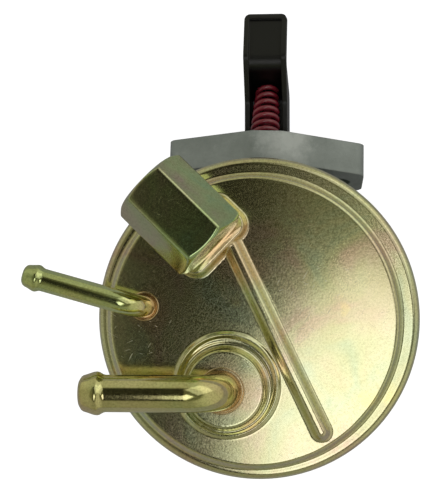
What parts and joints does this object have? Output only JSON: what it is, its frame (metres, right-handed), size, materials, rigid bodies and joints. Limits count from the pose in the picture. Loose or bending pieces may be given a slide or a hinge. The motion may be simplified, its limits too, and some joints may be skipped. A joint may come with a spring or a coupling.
{
  "type": "mechanical fuel pump",
  "caption": "Mechanical diaphragm fuel pump: crimped round cover with bent hose tubes and a hexagon outlet, cast body with a tilted mounting flange, sprung rocker arm.",
  "frame": {"origin": "centre of the mounting flange's face, midway between its two bolt holes", "axes": "+Z out of the fuel cover along the bowl's axis, +Y along the rocker arm towards its tip, +X to the right seen from the cover with the arm up. In service the pump hangs with its cover down."},
  "size_m": [0.1369, 0.167, 0.0969],
  "materials": {
    "zinc_cover": "yellow zinc over a fine pressed grain",
    "zinc_inlet": "yellow zinc, glossy",
    "zinc_return": "yellow zinc, glossy",
    "zinc_fitting": "yellow zinc over turned bar",
    "cast_housing": "as die cast, matt",
    "cast_valve_body": "as die cast",
    "black_arm": "black oxide, satin",
    "red_spring": "glossy red lacquer",
    "plain_spring": "oiled spring wire",
    "steel": "turned and pressed steel",
    "cage_brass": "pressed",
    "cloth_rubber": "cloth-backed",
    "gasket_fibre": "fibre",
    "seal_rubber": "moulded"
  },
  "bodies": {
    "pump": {"fuel_cover": "zinc_cover", "inlet_tube": "zinc_inlet", "return_tube": "zinc_return", "outlet_fitting": "zinc_fitting", "housing": "cast_housing", "valve_body": "cast_valve_body", "inlet_valve_cage": "cage_brass", "inlet_valve_spring": "plain_spring", "outlet_valve_cage": "cage_brass", "outlet_valve_spring": "plain_spring", "diaphragm": "cloth_rubber", "rod_seal": "seal_rubber", "seal_retainer": "steel", "cover_gasket": "gasket_fibre", "well_gasket": "gasket_fibre", "return_spring": "red_spring", "diaphragm_spring": "plain_spring", "pivot_pin": "steel", "pin_plugs": "steel", "arm_spacers": "steel"},
    "arm": {"rocker_arm": "black_arm"},
    "link": {"pull_link": "steel"},
    "plunger": {"pull_rod": "steel", "fuel_plate": "steel", "spring_plate": "steel", "rod_washer": "steel"},
    "inlet_disc": {"inlet_valve_disc": "seal_rubber"},
    "outlet_disc": {"outlet_valve_disc": "seal_rubber"}
  },
  "joints": [
    {"name": "arm_swing", "type": "hinge", "parent": "pump", "child": "arm", "pos_m": [0, -0.0297, -0.002], "axis": [1, 0, 0], "range_deg": [0, 9], "stiffness_Nm_per_rad": 3, "springref_deg": -22.92, "deforming": ["return_spring"]},
    {"name": "link_swing", "type": "hinge", "parent": "pump", "child": "link", "pos_m": [0, -0.0297, -0.002], "axis": [1, 0, 0], "range_deg": [0, 9]},
    {"name": "plunger_slide", "type": "slide", "parent": "pump", "child": "plunger", "axis": [0, 0, -1], "range_m": [0, 0.0049], "deforming": ["diaphragm", "diaphragm_spring"]},
    {"name": "inlet_valve_lift", "type": "slide", "parent": "pump", "child": "inlet_disc", "axis": [0, 0, -1], "range_m": [0, 0.0015], "stiffness_N_per_m": 50, "springref_m": -0.001, "deforming": ["inlet_valve_spring"]},
    {"name": "outlet_valve_lift", "type": "slide", "parent": "pump", "child": "outlet_disc", "axis": [0, 0, 1], "range_m": [0, 0.0015], "stiffness_N_per_m": 50, "springref_m": -0.001, "deforming": ["outlet_valve_spring"]}
  ],
  "couplings": [
    {"joint": "link_swing", "follows": "arm_swing", "ratio": 1},
    {"joint": "plunger_slide", "follows": "arm_swing", "m_per_rad": 0.031}
  ]
}
